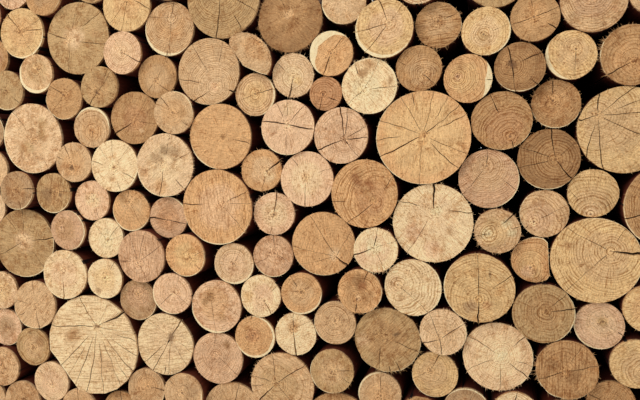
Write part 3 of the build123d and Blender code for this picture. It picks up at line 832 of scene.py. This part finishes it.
# The sixth course: barked spruce logs, bedded in the course below. One was torn and not sawn through,
# so its end stands rough, with bright fresh wood between the splinters.
dress_course("course_06", {
    (-518, 477): sawn("rose", "brown", pith=(-18, 6), stains=0.15, fringe=(-60, 50, 16),
        patches=[(-18, 6, 8, "pink")]),
    (463, 509): sawn("tan", "yellow", pith=(-16, -6), rings=1, stains=0.2, rough=2.2,
        checks=[(40, 0.5, 1, 2.5), (15, 0.7, 1, 1.5), (190, 0.1, 0.5, 1.2)], patches=[(-20, -6, 14, "bast"),
        (17, 14, 10, "bast"), (26, -2, 9, "bast"), (10, 30, 6, "brown")]),
    (-265, 516): sawn("rose", "red", pith=(-2, -6), rim=(3, 40, 60), rings=0.3, rough=0.5,
        checks=[(174, 0.03, 1, 3.4), (-9, 0.03, 0.97, 2)]),
    (338, 518): sawn("cream", "pale", pith=(2, 26), rings=0.25, stains=0.3, rough=0.8, fringe=(90, 100, 24),
        checks=[(92, 0.05, 1, 4.5), (-2, 0.35, 1, 1.4), (165, 0.4, 0.95, 1.2), (-120, 0.2, 0.6, 0.8)],
        patches=[(8, 26, 11, "bast"), (34, -18, 6, "brown"), (-40, -20, 22, "pink"), (0, -52, 20, "pink")]),
    (-360, 531): sawn("orange", "tan", pith=(-4, 20), rings=0.3, checks=[(98, 0.5, 1, 1.4),
        (-60, 0.1, 0.6, 0.7)], patches=[(-18, 26, 12, "brown"), (14, 22, 8, "brown"),
        (-4, -18, 26, "orange")]),
    (-2, 530): sawn("pink", "cream", pith=(0, -2), rings=0.4, stains=0.35, rough=0.9, fringe=(100, 90, 20),
        checks=[(82, 0.05, 1, 3), (-100, 0.6, 0.9, 0.7)], patches=[(0, -2, 5, "dark")]),
    (-740, 532): sawn("pale", "tan", rings=0.4, stains=0.2),
    (-135, 543): sawn("orange", "pink", pith=(12, 6), rings=0.4, saw=0.9, stains=0.15, rough=0.4,
        fringe=(-50, 30, 20), checks=[(180, 0.5, 0.98, 1.6), (28, 0.2, 0.9, 1), (-48, 0.1, 0.8, 0.7),
        (5, 0.2, 0.7, 0.7)]),
    (548, 546): sawn("tan", "rose", pith=(-19, -16), rings=0.9, stains=0.2, rough=0.6,
        checks=[(28, 0.2, 0.5, 1), (-140, 0.6, 0.98, 1.2)], patches=[(-20, -16, 9, "pale"),
        (-16, 4, 6, "tan")]),
    (-455, 552): sawn("pink", "cream", heart_to=0.4, pith=(4, 2), rings=0.2, stains=0.45,
        checks=[(-75, 0.5, 0.75, 1)]),
    (754, 564): sawn("brown", "tan", pith=(20, 0), rings=0.9, stains=0.2, rough=0.6,
        checks=[(-165, 0.4, 1, 1.8)]),
    (-549, 567): sawn("olive", "brown", pith=(4, 4), rings=0.3, saw=1, stains=0.5,
        checks=[(0, 0.2, 0.7, 0.7)], patches=[(-18, -2, 18, "slate"), (20, -4, 5, "bark")]),
})

# The seventh course: barked spruce logs, bedded in the course below. Their ends have dried to many
# tones, from cream to a weathered brown, and resin and damp have stained a few.
dress_course("course_07", {
    (-644, 575): sawn("grey", "brown", pith=(0, 2), rings=0.3, stains=0.4, checks=[(5, 0.35, 1, 2),
        (-75, 0.6, 0.98, 1.4)]),
    (197, 575): sawn("orange", "red", heart_to=0.5, pith=(24, -16), rings=0.9, stains=0.3, rough=0.4,
        checks=[(-142, 0.1, 0.85, 1.2), (55, 0.5, 0.95, 1), (180, 0.7, 0.98, 1)],
        patches=[(-16, 32, 15, "stain"), (12, 22, 9, "stain"), (6, 6, 9, "brown"), (16, -10, 9, "brown"),
        (-6, 42, 10, "brown")]),
    (631, 586): sawn("yellow", "tan", pith=(-3, -40), rings=1, stains=0.15, rough=0.6,
        checks=[(130, 0.6, 0.8, 1), (30, 0.5, 0.8, 0.7)], patches=[(-3, -34, 14, "pale")]),
    (71, 604): sawn("pink", "cream", pith=(-2, 4), rings=0.15, stains=0.15, checks=[(-93, 0.15, 1, 1.2),
        (128, 0.5, 0.9, 0.8), (20, 0.5, 0.8, 0.6)], patches=[(-2, 4, 9, "tan")]),
    (444, 612): sawn("rose", "tan", pith=(-4, 25), rings=0.8, stains=0.1, rough=0.4,
        checks=[(88, 0.05, 0.65, 1.3), (-128, 0.1, 0.75, 0.8), (-40, 0.6, 0.95, 0.8)],
        patches=[(26, 42, 9, "pink"), (46, 12, 5, "pale")]),
    (-730, 618): sawn("tan", rings=0.4, stains=0.2),
    (-32, 623): sawn("orange", "pale", pith=(12, -2), rings=0.4, stains=0.2, rough=1, fringe=(30, 70, 16),
        checks=[(38, 0.05, 1, 4), (-105, 0.3, 0.6, 1.4), (170, 0.5, 0.8, 0.6)],
        patches=[(16, -8, 14, "cream"), (12, 0, 4, "dark"), (22, 8, 10, "pale")]),
    (-387, 635): sawn("cream", heart_to=0.5, pith=(-2, -4), rim=(3.5, -35, 60), rings=0.25,
        checks=[(95, 0.2, 0.6, 0.8), (166, 0.5, 0.98, 1), (-27, 0.4, 0.98, 1.3), (130, 0.3, 0.6, 0.7),
        (-75, 0.6, 0.95, 0.8), (50, 0.3, 0.5, 0.7)], patches=[(-6, -30, 9, "brown"), (-2, -4, 5, "brown")]),
    (-253, 637): sawn("pale", "cream", pith=(-2, 2), rings=0.15, stains=0.3, rough=0.6, fringe=(0, 70, 18),
        checks=[(-99, 0.15, 0.98, 1.6), (-50, 0.6, 0.97, 1.2), (20, 0.3, 0.9, 0.6), (75, 0.3, 0.7, 0.7)],
        patches=[(-20, 16, 17, "grey"), (22, 26, 16, "grey"), (0, 34, 12, "slate"),
        (-10, -48, 17, "orange")]),
    (-494, 643): sawn("tan", "orange", pith=(-4, -8), rings=0.3, stains=0.35, checks=[(112, 0.3, 1, 2),
        (152, 0.6, 0.97, 1.1)], patches=[(-6, -14, 7, "bark"), (2, 20, 9, "brown")]),
    (550, 654): sawn("dark", "brown", pith=(12, 0), rim=(2, -90, 60), rings=1, stains=0.1, rough=0.9,
        checks=[(100, 0.04, 1, 1.9), (-52, 0.04, 1, 2.4), (-165, 0.15, 0.7, 1.1), (160, 0.15, 0.75, 1.1),
        (40, 0.2, 0.6, 0.7)]),
})

# The eighth course: barked spruce logs, bedded in the course below, with thick ones at both sides.
# Damp has left dull stains on the pale one at the left.
dress_course("course_08", {
    (149, 691): sawn("pink", "rose", pith=(8, -8), rings=0.8, rough=0.4, checks=[(98, 0.04, 1, 2.4),
        (84, 0.1, 0.9, 1.4), (30, 0.1, 0.85, 1.2), (-160, 0.05, 1, 2.6), (4, 0.04, 0.9, 2),
        (-52, 0.03, 0.3, 1.8)]),
    (311, 694): sawn("orange", "yellow", heart_to=0.8, pith=(0, 5), rings=0.12, stains=0.1, rough=0.4,
        checks=[(-153, 0.06, 0.98, 2.2), (75, 0.05, 0.6, 0.9), (38, 0.05, 0.4, 1.6), (25, 0.3, 0.95, 0.9),
        (-45, 0.2, 0.95, 1.2), (160, 0.1, 0.8, 0.9), (120, 0.1, 0.75, 0.8), (185, 0.5, 0.95, 0.8),
        (105, 0.7, 0.97, 0.9), (-95, 0.2, 0.7, 0.7), (-25, 0.15, 0.6, 0.8), (55, 0.4, 0.9, 0.7)],
        patches=[(0, 5, 5, "brown")]),
    (-125, 698): sawn("orange", pith=(6, 0), rim=(2.5, -130, 40), rings=0.25, stains=0.1, rough=0.4,
        fringe=(-150, 60, 14), checks=[(-14, 0.4, 0.97, 1.2)], patches=[(6, 0, 5, "dark"),
        (-30, 10, 24, "orange")]),
    (-611, 701): sawn("pale", "tan", pith=(2, -4), rim=(2.5, -150, 90), rings=0.15, stains=0.6, rough=0.4,
        checks=[(128, 0.3, 0.7, 1), (-60, 0.4, 0.8, 0.6)], patches=[(30, 34, 14, "olive"),
        (26, 10, 12, "olive"), (-10, -20, 16, "olive"), (-26, -24, 12, "brown"), (2, 18, 5, "dark")]),
    (676, 708): sawn("yellow", "tan", pith=(-46, 27), rings=0.7, stains=0.1, rough=0.5,
        checks=[(90, 0.04, 1, 2.8), (40, 0.04, 1, 1.5), (3, 0.04, 0.98, 1.2), (-26, 0.05, 0.9, 1),
        (-165, 0.05, 1, 2), (-84, 0.05, 1, 1.8), (-104, 0.15, 1, 1.6), (20, 0.3, 0.8, 0.8)]),
    (33, 715): sawn("pink", pith=(0, 6), rings=0.15, stains=0.1, checks=[(171, 0.03, 0.98, 2.8),
        (-12, 0.03, 0.98, 3), (48, 0.1, 0.9, 1.1), (92, 0.3, 0.9, 0.8), (120, 0.3, 0.7, 0.8),
        (-95, 0.3, 0.8, 0.7)], patches=[(0, 38, 14, "pale")]),
    (-742, 716): sawn("grey", "brown", stains=0.3),
    (-448, 723): sawn("tan", "orange", pith=(2, -10), rim=(5, 70, 85), rings=0.9, stains=0.2,
        checks=[(-90, 0.1, 0.5, 0.8)], patches=[(2, -12, 4, "brown")]),
    (460, 727): sawn("brown", "red", pith=(16, -30), rings=1, stains=0.15, rough=0.5,
        checks=[(115, 0.55, 0.8, 2), (-70, 0.3, 0.98, 1.4)]),
    (-340, 742): sawn("brown", "red", heart_to=0.5, pith=(2, -6), rings=0.35, stains=0.2, rough=0.4,
        checks=[(-150, 0.15, 1, 3.2), (60, 0.1, 0.4, 0.8), (-10, 0.1, 0.7, 0.6)],
        patches=[(16, -30, 5, "pale")]),
    (-234, 752): sawn("tan", "orange", pith=(-2, 0), rings=0.3, stains=0.3, checks=[(128, 0.3, 0.97, 1.8),
        (-40, 0.5, 0.9, 0.7)], patches=[(22, 0, 12, "brown"), (0, 20, 3, "brown")]),
    (560, 759): sawn("brown", "orange", pith=(-6, 6), rings=0.6, stains=0.5, rough=1,
        fringe=(-170, 100, 30), checks=[(92, 0.2, 1, 1.6)]),
})

# The ninth course: barked spruce logs, bedded in the course below. Strips of cream bast are left under
# the rims of several, where the barking knife slid over a hollow.
dress_course("course_09", {
    (107, 775): sawn("red", pith=(-6, -2), rings=0.9, stains=0.1, checks=[(-105, 0.1, 1, 1.4),
        (-25, 0.3, 0.8, 1.8)]),
    (-47, 781): sawn("tan", "yellow", pith=(0, 2), rim=(4, -20, 75), rings=1.4, stains=0.15, rough=0.7,
        checks=[(12, 0.1, 0.97, 1.5), (-158, 0.1, 0.7, 0.8)]),
    (-514, 790): sawn("brown", pith=(0, 9), rings=0.2, stains=0.4, rough=0.9,
        checks=[(148, 0.08, 0.85, 1.5), (160, 0.78, 0.98, 1.4), (-128, 0.1, 0.55, 0.8),
        (30, 0.2, 0.5, 0.6)]),
    (199, 796): sawn("cream", "bast", heart_to=0.5, pith=(-12, -8), rim=(3, 20, 170), rings=0.45,
        stains=0.15, rough=0.9, fringe=(70, 70, 40), checks=[(108, 0.55, 0.85, 1.4), (-140, 0.05, 0.5, 1),
        (6, 0.2, 0.75, 1), (60, 0.1, 0.3, 0.9)], patches=[(0, 42, 12, "brown"), (-12, 26, 10, "dark"),
        (-12, 12, 4, "brown"), (42, 10, 7, "dark")]),
    (394, 807): sawn("orange", "yellow", pith=(-19, 4), rim=(9, -5, 48), rings=1, stains=0.15,
        checks=[(-8, 0.85, 0.98, 1.6)], patches=[(-19, 4, 8, "pink"), (-14, 22, 10, "brown")]),
    (-675, 815): sawn("olive", rings=0.2, stains=0.35, checks=[(-42, 0.5, 0.95, 1.2),
        (170, 0.1, 0.5, 0.6)]),
    (-422, 816): sawn("olive", "brown", pith=(-6, -14), rings=0.2, stains=0.45,
        checks=[(-128, 0.04, 1, 2.4), (52, 0.08, 0.45, 1), (148, 0.3, 0.6, 0.8), (60, 0.65, 0.8, 1.4)],
        patches=[(-6, -12, 5, "bark"), (8, 14, 12, "dark")]),
    (491, 824): sawn("dark", "brown", heart_to=0.7, pith=(-14, 4), rim=(2, -100, 60), rings=0.9,
        stains=0.15, rough=0.7, checks=[(103, 0.04, 0.98, 2.4), (-82, 0.04, 0.5, 2.2), (22, 0.3, 0.98, 1.6),
        (-38, 0.75, 1, 1.2)], patches=[(-14, 6, 9, "bark")]),
    (38, 824): sawn("pale", "cream", heart_to=0.5, pith=(0, -4), rings=0.9, stains=0.05, rough=0.9,
        fringe=(60, 70, 18), checks=[(-103, 0.05, 1, 3.4), (140, 0.5, 0.95, 1.1)],
        patches=[(0, -4, 13, "cream"), (10, -12, 9, "yellow")]),
    (-282, 832): sawn("brown", "tan", pith=(-4, -10), rings=0.2, fringe=(-60, 40, 14),
        checks=[(-135, 0.25, 0.65, 1), (-38, 0.25, 0.9, 1), (60, 0.1, 0.4, 0.9)]),
    (304, 834): sawn("brown", "tan", pith=(12, -14), rings=1, stains=0.15, fringe=(0, 70, 16),
        checks=[(-40, 0.04, 0.6, 1.6), (150, 0.7, 0.9, 0.7)]),
    (-152, 839): sawn("tan", "pale", pith=(16, -32), rings=1, stains=0.1, rough=0.4,
        checks=[(-148, 0.3, 1, 2.4), (168, 0.3, 0.95, 1), (-15, 0.75, 1, 4), (120, 0.3, 0.9, 0.6),
        (80, 0.5, 0.8, 0.7)], patches=[(14, -34, 10, "pink")]),
    (690, 847): sawn("brown", "orange", pith=(2, -12), rim=(2.5, 180, 50), rings=0.9, stains=0.3, rough=1.5,
        fringe=(170, 60, 34), checks=[(-152, 0.1, 1, 1.9)], patches=[(26, 16, 10, "dark")]),
    (584, 848): sawn("yellow", "tan", pith=(8, 10), rim=(6, -155, 60), rings=1, stains=0.05,
        checks=[(-90, 0.05, 0.35, 1.2)]),
    (-589, 850): sawn("tan", "olive", pith=(6, 10), rim=(6, -120, 105), rings=0.15, stains=0.4,
        patches=[(6, 12, 4, "dark"), (-12, -8, 3, "brown")]),
})

# The tenth course: barked spruce logs, bedded in the course below. One of them was split lengthwise and
# lies as a half round, and a thick layer of cream bast was left on another.
dress_course("course_10", {
    (121, 862): sawn("orange", rim=(17, 140, 100), rings=0.3, stains=0.3, rough=0.6,
        checks=[(52, 0.1, 0.9, 1.1), (-112, 0.1, 0.98, 2.2)]),
    (-57, 862): sawn("tan", "orange", pith=(14, 12), rings=0.3, saw=0.4, stains=0.4, rough=0.8,
        checks=[(100, 0.6, 0.98, 1.8), (150, 0.1, 0.4, 1.2), (20, 0.4, 0.7, 1.6)]),
    (-358, 891): sawn("pink", "pale", rings=0.8, stains=0.05, checks=[(-27, 0.04, 1, 1.9),
        (120, 0.05, 0.25, 0.8)]),
    (-725, 893): sawn("brown", "rose", stains=0.3),
    (428, 893): sawn("yellow", "pale", pith=(-4, -6), rim=(3, -30, 70), rings=0.7, stains=0.15,
        checks=[(20, 0.3, 0.6, 0.6)], patches=[(-5, -8, 10, "olive")]),
    (232, 911): sawn("yellow", "pink", pith=(9, 9), rim=(6, -115, 100), rings=0.6, stains=0.15, rough=0.8,
        checks=[(112, 0.04, 1, 1.6), (-130, 0.04, 0.9, 1.2), (-168, 0.05, 0.75, 1.2), (50, 0.2, 0.4, 0.8)],
        patches=[(-54, -16, 4, "bark")]),
    (339, 916): sawn("brown", "tan", pith=(0, 8), rings=0.25, saw=1, saw_way=5, rough=1.3,
        fringe=(-70, 70, 26), checks=[(20, 0.3, 0.7, 1)]),
    (516, 917): sawn("brown", "orange", pith=(-2, 0), rings=0.3, rough=0.4, checks=[(20, 0.04, 0.8, 1.3),
        (-162, 0.04, 0.8, 1.2), (-28, 0.55, 1, 2.2), (100, 0.4, 0.7, 0.7)], patches=[(8, -24, 7, "brown")]),
    (-482, 928): sawn("olive", "tan", heart_to=0.3, pith=(-25, -2), rings=0.1, stains=0.35,
        checks=[(163, 0.1, 0.75, 1.5), (-10, 0.25, 0.8, 1), (-90, 0.1, 0.6, 0.8), (70, 0.2, 0.6, 0.7),
        (35, 0.5, 0.7, 1.4)], patches=[(-8, 4, 24, "pale"), (44, 8, 10, "brown"), (-36, -10, 7, "brown")]),
    (-252, 935): sawn("tan", "orange", pith=(4, 24), rim=(5, -120, 75), rings=1, rough=0.4,
        checks=[(75, 0.04, 0.98, 1.6), (-93, 0.04, 0.45, 1.1), (175, 0.05, 0.2, 0.9), (-98, 0.82, 1, 1.8)],
        patches=[(4, 24, 27, "brown"), (4, 24, 20, "pale"), (-38, 26, 5, "brown"), (-46, -12, 6, "brown")]),
    (617, 946): sawn("tan", "rose", pith=(-4, 10), rings=1, stains=0.3, patches=[(30, 8, 9, "brown"),
        (36, -18, 7, "red")]),
    (36, 947): sawn("dark", "brown", pith=(-4, 12), rings=0.15, stains=0.3, rough=1.6,
        fringe=(-120, 90, 70), checks=[(120, 0.2, 0.4, 0.8)], patches=[(18, 36, 6, "brown"),
        (-4, 12, 10, "tan")]),
    (-631, 947): sawn("yellow", "orange", pith=(-3, 4), rim=(4, -62, 78), rings=0.6,
        checks=[(131, 0.04, 1, 2.8), (4, 0.1, 0.95, 1.2), (25, 0.05, 0.35, 1.2), (-60, 0.05, 0.2, 1.2)],
        patches=[(-3, 0, 5, "brown"), (20, -12, 3, "brown")]),
})

# The eleventh course: the upper logs of the stack, barked spruce like the others, bedded in the course
# below and open to the sky on top.
dress_course("course_11", {
    (722, 950): sawn("tan", "orange", stains=0.3),
    (153, 972): sawn("tan", "pale", pith=(-10, 14), rim=(3, -160, 70), rings=0.3, stains=0.1, rough=0.9),
    (-118, 988): sawn("olive", pith=(-6, 18), rings=0.9, stains=0.3, rough=0.5, checks=[(-95, 0.05, 1, 1.8),
        (60, 0.1, 0.9, 0.8), (-30, 0.2, 0.9, 0.9), (-60, 0.6, 0.95, 0.9), (150, 0.1, 0.7, 0.7)]),
    (445, 998): sawn("olive", "tan", pith=(0, -10), stains=0.2),
    (-353, 998): sawn("yellow", "orange", pith=(5, 18), rings=0.4, checks=[(-105, 0.05, 0.85, 1.4),
        (-28, 0.2, 0.98, 1.5), (-130, 0.1, 0.75, 0.9)]),
    (-563, 1026): sawn("brown", "grey", stains=0.2),
    (-248, 1043): sawn("cream", "pale", stains=0.1),
})

# The crest: the last few logs, barked spruce, rolled up on the rest and held by the hollows that they
# lie in.
dress_course("course_12", {})

# The floor and the light: a pale level floor, a pale sky all round and one broad soft lamp, in metres.
floor_half = 9.0
floor_corners = [(x * floor_half, y * floor_half, 0) for x, y in ((-1, -1), (1, -1), (1, 1), (-1, 1))]
floor_mesh = bpy.data.meshes.new("floor")
floor_mesh.from_pydata(floor_corners, [], [(0, 1, 2, 3)])
floor = bpy.data.objects.new("floor", floor_mesh)
bpy.context.collection.objects.link(floor)
floor_paint = bpy.data.materials.new("floor_paint")
floor_paint.use_nodes = True
floor_shader = floor_paint.node_tree.nodes["Principled BSDF"]
floor_shader.inputs["Base Color"].default_value = (0.78, 0.77, 0.75, 1)
floor_shader.inputs["Roughness"].default_value = 0.9
floor_shader.inputs["Specular IOR Level"].default_value = 0.0
floor_mesh.materials.append(floor_paint)

world = bpy.data.worlds.new("sky")
bpy.context.scene.world = world
world.use_nodes = True
sky = world.node_tree.nodes["Background"]
sky.inputs["Color"].default_value = (0.95, 0.97, 1.0, 1)
sky.inputs["Strength"].default_value = 0.75

lamp_data = bpy.data.lights.new("soft_lamp", "AREA")
lamp_data.shape = "RECTANGLE"
lamp_data.size = 2.5
lamp_data.size_y = 2.0
lamp_data.energy = 110
lamp = bpy.data.objects.new("soft_lamp", lamp_data)
lamp.location = (-2.2, -4.2, 3.2)
lamp.rotation_euler = (math.radians(57), 0, math.radians(-27))
bpy.context.collection.objects.link(lamp)

# The camera stands close to the face, right of its middle, and looks a little to the left and down.
camera_turn = 15  # degrees to the left
camera_tilt = -4.2  # degrees from level
camera_data = bpy.data.cameras.new("camera")
camera_data.lens = 35.4
camera_data.sensor_width = 36
camera_data.clip_start = 0.01
camera = bpy.data.objects.new("camera", camera_data)
camera.location = (0.4153, -2.2739, 0.660)
camera.rotation_euler = (math.radians(90 + camera_tilt), 0, math.radians(camera_turn))
bpy.context.collection.objects.link(camera)
bpy.context.scene.camera = camera
bpy.context.scene.view_settings.view_transform = "Standard"
